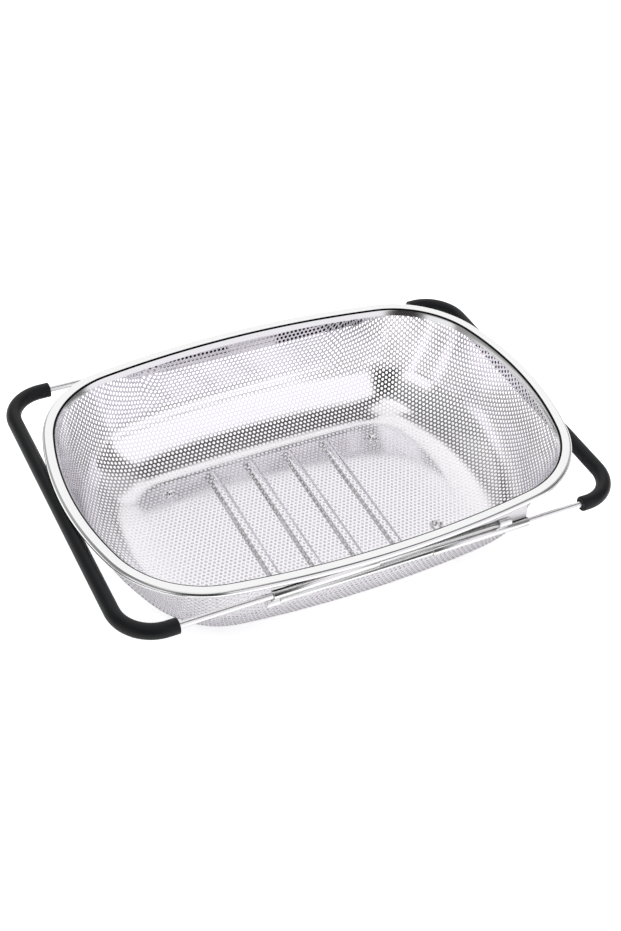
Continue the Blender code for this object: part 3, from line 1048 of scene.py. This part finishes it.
@dataclass
class SlidingHandle:
    """A wire bent to a U, with a rubber grip round it and a ferrule crimped on each end.

    Attributes:
        side: The end of the basket that it slides out of.
        crossbar: From the middle of the basket to the axis of the U's cross part.
        wire: Radius of the wire.
        bend: Radius of the U's corners, to the axis.
        end_reach: How far a rod's end lies past the basket's middle.
        ferrule: Radius of a ferrule.
        ferrule_length: Length of a ferrule.
        ferrule_empty: Share of a ferrule's length that the rod doesn't fill.
        grip: Radius of the grip.
        grip_arm: From the grip's mouth to the cross part's axis.
        bore: Radius of the grip's bore.
        lip: Rounding of the grip's mouths.
    """

    side: Side
    crossbar: float
    wire: float = 2.2
    bend: float = 26.0
    end_reach: float = 89.0
    ferrule: float = 2.75
    ferrule_length: float = 9.2
    ferrule_empty: float = 0.45
    grip: float = 5.2
    grip_arm: float = 33.0
    bore: float = 2.5
    lip: float = 0.7

    def path(self, arm: float, steps: int = 28) -> Array:
        """Runs along the wire's axis.

        Args:
            arm: How far from the cross part's axis it starts and ends.
            steps: Stretches of each corner.

        Returns:
            Points from the front rod round the cross part to the back rod.
        """
        turns = np.linspace(0, math.pi / 2, steps + 1)
        x = self.side.value * (self.crossbar - self.bend * (1 - np.sin(turns)))
        y = -(ROD_Y - self.bend) - self.bend * np.cos(turns)
        start = [self.side.value * (self.crossbar - arm), -ROD_Y]
        half = np.vstack([start, np.column_stack([x, y])])
        both = np.vstack([half, half[::-1] * (1, -1)])
        return np.column_stack([both, np.full(len(both), ROD_LEVELS[self.side])])

    @staticmethod
    def tube(path: Array, radii: Array, sides: int) -> Array:
        """Sets rings of points round a level path.

        Args:
            path: Points of its axis.
            radii: Radius at each.
            sides: Points on a ring.

        Returns:
            The rings.
        """
        across = np.cross(unit(np.gradient(path, axis=0)), (0, 0, 1))[:, None, :]
        turns = whole_turn(sides, shift=0.5)[None, :, None]
        spokes = np.cos(turns) * across + np.sin(turns) * np.array([0, 0, 1.0])
        return path[:, None, :] + np.asarray(radii)[:, None, None] * spokes

    def build_wire(self) -> bpy.types.Object:
        """Builds the bent wire, whose ends reach into the ferrules.

        Returns:
            The new object.
        """
        path = self.path(self.crossbar + self.end_reach - self.ferrule_length * self.ferrule_empty)
        return loft(f"{self.side.word}_handle_wire", self.tube(path, np.full(len(path), self.wire), sides=28))

    def build_grip(self) -> bpy.types.Object:
        """Builds the rubber tube, open at its two mouths, with rounded lips.

        Returns:
            The new object.
        """
        sides, lip_steps = 40, 6
        outer = self.path(self.grip_arm)
        turns = np.linspace(0, math.pi / 2, lip_steps + 1)
        step = self.side.value * self.lip * (1 - np.cos(turns))
        radii = self.grip - self.lip * (1 - np.sin(turns))
        front, back = (end + np.column_stack([step, np.zeros((len(turns), 2))]) for end in (outer[0], outer[-1]))
        path = np.vstack([front, outer[1:-1], back[::-1]])
        skin = self.tube(path, np.concatenate([radii, np.full(len(outer) - 2, self.grip), radii[::-1]]), sides)
        bore = self.tube(outer, np.full(len(outer), self.bore), sides)
        return loft(f"{self.side.word}_grip_tube", np.concatenate([skin, bore[::-1]]), closed=True)

    def build_ferrule(self, face: Face) -> bpy.types.Object:
        """Turns one ferrule, which is crimped on the rod's end and can't pass its guide tube.

        Args:
            face: Which rod it sits on.

        Returns:
            The new object.
        """
        mouth, end = self.end_reach - self.ferrule_length, self.end_reach
        gap, funnel, flare, rounding, flat = 0.02, 0.8, 0.1, 0.55, 0.4
        inner = self.wire + gap
        corners = [(mouth, inner + flare), (mouth, self.ferrule), (end, self.ferrule), (end, 0.0)]
        profile = [(mouth + funnel, inner), corners[0]]
        for k in (1, 2):
            profile += fillet(corners[k], corners[k - 1], corners[k + 1], rounding, steps=5)
        along, radii = np.array(profile + [(end, flat)]).T
        side, sides = self.side.value, 36
        axis = np.full(len(along), face.value * ROD_Y)
        path = np.column_stack([-side * along, axis, np.full(len(along), ROD_LEVELS[self.side])])
        turns = whole_turn(sides)
        ring = np.column_stack([np.zeros(sides), side * -np.cos(turns), np.sin(turns)])
        rings = path[:, None, :] + radii[:, None, None] * ring[None]
        return loft(f"{self.side.word}_rod_ferrule_{face.word}", rings)

    def dress(self, finishes: Finishes) -> None:
        """Builds and finishes the handle's wire, grip and ferrules.

        Args:
            finishes: The object's materials.
        """
        side = self.side.word
        pieces = [
            (self.build_wire(), f"handle_wire_{side}", finishes.wire),
            (self.build_grip(), f"grip_{side}", finishes.rubber),
        ]
        pieces += [(self.build_ferrule(face), f"ferrule_{face.word}_{side}", finishes.wire) for face in Face]
        for piece, node, finish in pieces:
            finishes.dress(piece, finish)
            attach(piece, f"{side}_handle")
            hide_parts(node)


@dataclass
class GuideTube:
    """A guide tube that a rod slides in, with the leaf that is welded up under the rim.

    Attributes:
        side: The handle that it guides.
        face: The long side that it is on.
        start: Its lower end along the basket.
        end: Its higher end along the basket.
        bore: Radius of its bore.
        radius: Its outer radius.
        eased: Rounding of its ends.
        leaf: Thickness of the leaf.
        leaf_turn: How far round the tube the leaf leaves it, in degrees.
        leaf_top: Level of the leaf's upper edge.
        ferrule_room: How far the leaf leans inwards at the other rod's level.
        dull_from: Faces whose normals point less than this away from the basket are painted near-black, a painted shade
            between the tube and the basket.
    """

    side: Side
    face: Face
    start: float
    end: float
    bore: float = 2.5
    radius: float = 2.95
    eased: float = 0.15
    leaf: float = 0.7
    leaf_turn: float = 35.0
    leaf_top: float = 73.6
    ferrule_room: float = 3.05
    dull_from: float = -0.1

    def outlines(self) -> tuple[Array, Array]:
        """Draws the tube's section.

        Returns:
            The outer outline with the leaf, and the bore's matching one, as (inwards, up).
        """
        turn = math.radians(self.leaf_turn)
        foot = self.radius * np.array([math.cos(turn), math.sin(turn)])
        rise = self.leaf_top - ROD_LEVELS[self.side]
        spacing = ROD_LEVELS[Side.LEFT] - ROD_LEVELS[Side.RIGHT]
        lean = (self.ferrule_room - foot[0]) / (spacing - foot[1])
        top = foot[0] + lean * (rise - foot[1])
        steps = 44
        turns = np.linspace(turn, 2 * math.pi, steps + 1)
        spokes = directions(np.append(turns, (turn / 3, turn * 2 / 3)))
        leaf = np.array([[top + self.leaf, rise], [top, rise]])
        return np.vstack([self.radius * spokes[:-2], leaf]), self.bore * spokes

    def build(self) -> bpy.types.Object:
        """Runs the section along the rim, its ends eased.

        Returns:
            The new object.
        """
        outer, bore = self.outlines()
        slim = outer.copy()
        slim[:-2] *= 1 - self.eased / self.radius
        level, face = ROD_LEVELS[self.side], self.face.value
        stations = [
            (self.start, slim),
            (self.start + self.eased, outer),
            (self.end - self.eased, outer),
            (self.end, slim),
            (self.end, bore),
            (self.start, bore),
        ]
        rings = []
        for x, outline in stations:
            inwards, up = outline.T
            rings.append(np.column_stack([np.full(len(outline), x), face * (ROD_Y - inwards), level + up]))
        rings = np.array(rings)[:, ::-face]
        return loft(f"{self.side.word}_guide_tube_{self.face.word}", rings, closed=True)

    def dress(self, finishes: Finishes) -> None:
        """Builds and finishes the tube.

        Args:
            finishes: The object's materials.
        """
        piece = self.build()
        finishes.dress(piece, finishes.wire, finishes.crease)
        # the sides that face the basket are painted near-black: painted shade between the tube and the basket
        for wall in piece.data.polygons:
            wall.material_index = int(wall.normal.y * self.face.value < self.dull_from)
        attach(piece, "basket")
        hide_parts(f"guide_{self.face.word}_{self.side.word}")


# Studio


@dataclass
class PhotoCamera:
    """The camera at the photograph's viewing angle.

    Attributes:
        yaw: Round the object, in degrees.
        pitch: Above level, in degrees.
        roll: About its own axis, in degrees.
        distance: To the rim's middle, in metres.
        focal: In pixels of the image.
        slide: Sideways and up from the line to the rim's middle, in metres.
        offset: Of the optical axis from the image's middle, in pixels.
        aim_level: Level of the rim's middle, in metres.
    """

    yaw: float = -28.86
    pitch: float = 42.20
    roll: float = 4.56
    distance: float = 0.9829
    focal: float = 1426.3
    slide: Pair = (-0.0116, -0.0207)
    offset: Pair = (-17.3, -1.6)
    aim_level: float = 0.0762

    def build(self) -> None:
        """Places the camera."""
        yaw, pitch, roll = (math.radians(angle) for angle in (self.yaw, self.pitch, self.roll))
        back = Vector((math.sin(yaw) * math.cos(pitch), -math.cos(yaw) * math.cos(pitch), math.sin(pitch)))
        level = Vector((math.cos(yaw), math.sin(yaw), 0))
        upright = back.cross(level)
        right = math.cos(roll) * level + math.sin(roll) * upright
        up = -math.sin(roll) * level + math.cos(roll) * upright
        data = bpy.data.cameras.new("photo_camera")
        camera = add_object("photo_camera", data)
        place = back * self.distance + self.slide[0] * right + self.slide[1] * up + Vector((0, 0, self.aim_level))
        camera.matrix_world = Matrix.Translation(place) @ Matrix((right, up, back)).transposed().to_4x4()
        data.lens = self.focal / IMAGE_HEIGHT * data.sensor_width
        data.shift_x = -self.offset[0] / IMAGE_HEIGHT
        data.shift_y = self.offset[1] / IMAGE_HEIGHT
        data.clip_start = 0.01  # metres
        bpy.context.scene.camera = camera


@dataclass(frozen=True)
class Panel:
    """A soft-edged panel of the light tent.

    Attributes:
        azimuths: Where it starts and ends, in degrees from the basket's back, clockwise from above.
        elevations: Where it starts and ends above level, in degrees.
        radiance: Its brightness at its lower and upper edge, where 1 is white.
        edge: How many degrees its edges take to fade, beside it and above it.
        tint: sRGB hex colour of its cloth.
    """

    azimuths: Pair
    elevations: Pair
    radiance: Pair
    edge: Pair
    tint: str = "ffffff"

    def cover(self, azimuth: Array, elevation: Array) -> Array:
        """Tells how fully the panel hides what is behind it.

        Args:
            azimuth: Directions round the tent, in degrees.
            elevation: Directions above level, in degrees.

        Returns:
            Shares from 0 to 1.
        """
        turn, rise = sum(self.azimuths) / 2, sum(self.elevations) / 2
        beside = (self.azimuths[1] - self.azimuths[0]) / 2 - np.abs((azimuth - turn + 180) % 360 - 180)
        above = (self.elevations[1] - self.elevations[0]) / 2 - np.abs(elevation - rise)
        shares = [np.clip(inside / edge + 0.5, 0, 1) for inside, edge in zip((beside, above), self.edge)]
        return math.prod(share * share * (3 - 2 * share) for share in shares)

    def shine(self, elevation: Array) -> Array:
        """Returns the panel's linear colour at each elevation."""
        level = np.interp(elevation, self.elevations, self.radiance)
        return level[..., None] * np.array(linear(self.tint)[:3])


@dataclass(frozen=True)
class LightTent:
    """A cloth tent round the table, which only polished surfaces show.

    Attributes:
        panels: Its panels, each over those before it.
        base: Brightness of the bare cloth, where 1 is white.
        radius: In metres.
        foot: Elevation of its lower edge, in degrees.
        middle: Level that its elevations are measured from, in millimetres.
        step: Between the points of its mesh, in degrees.
    """

    panels: tuple[Panel, ...]
    base: float = 0.2
    radius: float = 3.0
    foot: float = -6.0
    middle: float = 40.0
    step: float = 2.0

    def build(self) -> None:
        """Sets up the tent."""
        around, up = int(360 / self.step), int((90 - self.foot) / self.step) + 1
        azimuth, elevation = np.meshgrid(np.arange(around) * self.step, np.linspace(self.foot, 90, up))
        light = np.full(azimuth.shape + (3,), self.base)
        for panel in self.panels:
            cover = panel.cover(azimuth, elevation)[..., None]
            light = light * (1 - cover) + panel.shine(elevation) * cover
        turn, rise = np.radians(azimuth), np.radians(elevation)
        sky = np.stack([np.sin(turn) * np.cos(rise), np.cos(turn) * np.cos(rise), np.sin(rise)], axis=-1)
        points = (sky * self.radius / MM).reshape(-1, 3) + (0, 0, self.middle)
        numbers = np.arange(azimuth.size).reshape(azimuth.shape)
        tent = make_mesh("light_tent", points, bridge(numbers[:-1], numbers[1:]))
        glow = tent.data.attributes.new("radiance", "FLOAT_COLOR", "POINT")
        colours = np.concatenate([light, np.ones(azimuth.shape + (1,))], axis=-1)
        glow.data.foreach_set("color", colours.astype(np.float32).ravel())
        tent.data.materials.append(self.cloth())
        for ray in ("camera", "diffuse", "transmission", "volume_scatter", "shadow"):
            setattr(tent, f"visible_{ray}", False)
        tent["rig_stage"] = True

    @staticmethod
    def cloth() -> bpy.types.Material:
        """Makes the tent's material, which shines as brightly as each panel says.

        Returns:
            The new material.
        """
        material = bpy.data.materials.new("tent_cloth")
        tree = empty_tree(material)
        radiance = add_node(tree, "ShaderNodeAttribute", attribute_name="radiance")
        shine = add_node(tree, "ShaderNodeEmission", {"Color": radiance.outputs["Color"], "Strength": 1.0})
        add_node(tree, "ShaderNodeOutputMaterial", {"Surface": shine.outputs[0]})
        material.cycles.emission_sampling = "NONE"
        return material


@dataclass(frozen=True)
class Canopy:
    """A square soft light over the table, which keeps the basket's shadow close to it.

    Attributes:
        size: Along each side, in metres.
        height: Above the table, in metres.
        share: Of the light on the open table that comes from it.
    """

    size: float = 1.8
    height: float = 1.6
    share: float = 0.6

    def build(self) -> None:
        """Hangs the light and sets its power from the share of the table's light."""
        lean = self.size / 2 / math.hypot(self.size / 2, self.height)
        seen = 4 / math.pi * lean * math.atan(lean)
        data = bpy.data.lights.new("canopy", "AREA")
        data.shape = "SQUARE"
        data.size = self.size
        data.energy = self.share / seen * math.pi * self.size**2
        canopy = add_object("canopy", data)
        canopy.location = (0, 0, self.height)
        canopy.visible_camera = canopy.visible_glossy = False


@dataclass
class Studio:
    """A white room and table, in a tent with two soft boxes and grey and black panels that the steel mirrors.

    Attributes:
        tent: What stands round the basket.
        canopy: The light overhead.
        open_glow: How much brighter than its paint the table shows away from the basket, where it looks white: painted
            light.
        mirror_glow: How much brighter it shows in polished metal near the basket, as painted light.
        far_glow: How much brighter it shows there farther out, as painted light.
        far: How far outside the shaded middle that starts and ends to turn brighter, in millimetres.
        shade_half: Half length and half width of the table's middle, where the painted glow is held back as painted
            shade, in millimetres.
        shade_fade: How far outside that the table turns white, in millimetres.
        table_half: From the table's middle to its edges, in millimetres.
        table_level: Of its top, in millimetres, just under the basket's feet.
        paint: sRGB hex colour of the table.
    """

    tent: LightTent = LightTent(
        (
            Panel((-12, 63), (-30, 80), (1.0, 1.0), (20, 14)),  # white back of the tent
            Panel((60, 92), (-30, 54), (0.5, 0.4), (12, 14), "fdfaff"),  # grey right side
            Panel((92, 116), (-30, 62), (0.13, 0.22), (8, 10)),  # dark strip beside the front box
            Panel((123, 180), (-30, 59), (0.95, 0.95), (11, 13), "fdfaff"),  # front box
            Panel((187, 221), (-30, 60), (0.04, 0.04), (9, 10)),  # dark opening that the camera looks through
            Panel((228, 270), (-30, 60), (0.66, 0.22), (12, 12)),  # light that spills over the left box
            Panel((229, 268), (-30, 27), (0.94, 0.94), (8, 9), "fcfcff"),  # left box
            Panel((270, 348), (-30, 58), (0.42, 0.2), (12, 12)),  # grey left side
            Panel((310, 342), (18, 50), (0.5, 0.34), (8, 8)),  # paler cloth beside the back
            Panel((288, 350), (-30, 8), (0.85, 0.85), (10, 6)),  # pale foot of the left side
            Panel((45, 205), (62, 80), (0.02, 0.22), (8, 6)),  # dark strip overhead
            Panel((205, 318), (61, 69), (0.2, 0.2), (9, 6)),  # grey strip overhead
            Panel((190, 310), (69, 110), (1.0, 1.0), (10, 6)),  # pale cloth over the camera
            Panel((0, 360), (77, 110), (0.85, 0.85), (8, 6)),  # pale top
            Panel((-14, 60), (-30, 4), (0.5, 0.5), (5, 5)),  # foot of the tent's back
        )
    )
    canopy: Canopy = Canopy()
    open_glow: float = 0.64
    mirror_glow: float = 0.12
    far_glow: float = 0.48
    far: Pair = (120.0, 210.0)
    shade_half: Pair = (84.0, 34.0)
    shade_fade: float = 78.0
    table_half: float = 4000.0
    table_level: float = -0.3
    paint: str = "f5f5f5"

    def build_table(self) -> None:
        """Lays the white table, which keeps the basket's shadow. Its glow is painted light that is held back round the
        basket as painted shade, for the camera and in polished metal.
        """
        corners = self.table_half * np.array([(-1, -1, 0), (1, -1, 0), (1, 1, 0), (-1, 1, 0)])
        table = make_mesh("table", corners + (0, 0, self.table_level), np.arange(4)[None])
        material = bpy.data.materials.new("white_table")
        tree = empty_tree(material)
        paint = add_node(tree, "ShaderNodeBsdfDiffuse", {"Color": linear(self.paint)})
        rays = add_node(tree, "ShaderNodeLightPath").outputs
        reflected = {0: rays["Is Glossy Ray"], 1: rays["Is Transmission Ray"]}
        mirrored_ray = add_node(tree, "ShaderNodeMath", reflected, operation="MAXIMUM")
        past = add_node(tree, "ShaderNodeNewGeometry").outputs["Position"]
        shaded = (self.shade_half[0] * MM, self.shade_half[1] * MM, 1.0)
        for operation, other in (("ABSOLUTE", {}), ("SUBTRACT", {1: shaded}), ("MAXIMUM", {1: (0, 0, 0)})):
            past = add_node(tree, "ShaderNodeVectorMath", {0: past, **other}, operation=operation).outputs["Vector"]
        away = add_node(tree, "ShaderNodeVectorMath", {0: past}, operation="LENGTH").outputs["Value"]
        # painted light: the glow for the camera and the glow seen in polished metal both ramp up away from the basket
        glow_there, shine_there = (
            add_node(
                tree,
                "ShaderNodeMapRange",
                {"Value": away, "From Min": start * MM, "From Max": end * MM, "To Min": near, "To Max": far},
                interpolation_type="SMOOTHSTEP",
            ).outputs["Result"]
            for start, end, near, far in (
                (0.0, self.shade_fade, 0.0, self.open_glow),
                (*self.far, self.mirror_glow, self.far_glow),
            )
        )
        shine = {0: mirrored_ray.outputs[0], 1: shine_there}
        in_mirror = add_node(tree, "ShaderNodeMath", shine, operation="MULTIPLY")
        all_glow = {0: rays["Is Camera Ray"], 1: glow_there, 2: in_mirror.outputs[0]}
        strength = add_node(tree, "ShaderNodeMath", all_glow, operation="MULTIPLY_ADD")
        glow = add_node(tree, "ShaderNodeEmission", {"Color": (1, 1, 1, 1), "Strength": strength.outputs[0]})
        both = add_node(tree, "ShaderNodeAddShader", {0: paint.outputs[0], 1: glow.outputs[0]})
        add_node(tree, "ShaderNodeOutputMaterial", {"Surface": both.outputs[0]})
        table.data.materials.append(material)
        table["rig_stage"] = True

    def build_room(self) -> None:
        """Makes the room white all round, which with the canopy renders a colour about as it is written."""
        world = bpy.data.worlds.new("white_room")
        bpy.context.scene.world = world
        tree = empty_tree(world)
        diffuse_ray = add_node(tree, "ShaderNodeLightPath").outputs["Is Diffuse Ray"]
        less = {0: diffuse_ray, 1: -self.canopy.share, 2: 1.0}
        strength = add_node(tree, "ShaderNodeMath", less, operation="MULTIPLY_ADD")
        white = add_node(tree, "ShaderNodeBackground", {"Color": (1, 1, 1, 1), "Strength": strength.outputs[0]})
        add_node(tree, "ShaderNodeOutputWorld", {"Surface": white.outputs[0]})

    def build(self) -> None:
        """Sets up the table, the room and the tent."""
        self.build_table()
        self.build_room()
        self.canopy.build()
        self.tent.build()
        bpy.context.scene.view_settings.view_transform = "Standard"


def corners() -> list[list[float]]:
    """Returns the whole object's box as plain numbers."""
    return [[float(value) for value in corner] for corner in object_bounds()]


def main() -> None:
    """Builds the basket, its rim, its guides and its handles in the studio."""
    logging.basicConfig(level=logging.INFO, format="%(name)s: %(message)s")
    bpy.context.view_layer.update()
    finishes = Finishes()
    assemblies: list[tuple[str, PerforatedBasket | FoldedRim | GuideTube | SlidingHandle]] = [
        ("perforated basket", PerforatedBasket()),
        ("folded rim", FoldedRim()),
    ]
    tubes = {Side.LEFT: (-84.5, -10.5), Side.RIGHT: (30.0, 104.0)}
    for face in Face:
        for side, (start, end) in tubes.items():
            assemblies.append((f"{side.word} guide tube at the {face.word}", GuideTube(side, face, start, end)))
    handles = (SlidingHandle(Side.LEFT, crossbar=180.166), SlidingHandle(Side.RIGHT, crossbar=178.0, grip_arm=31.0))
    assemblies += [(f"{handle.side.word} handle", handle) for handle in handles]
    for name, assembly in assemblies:
        assembly.dress(finishes)
        LOG.info("%s is built", name)
    PhotoCamera().build()
    Studio().build()


if __name__ == "__main__":
    main()
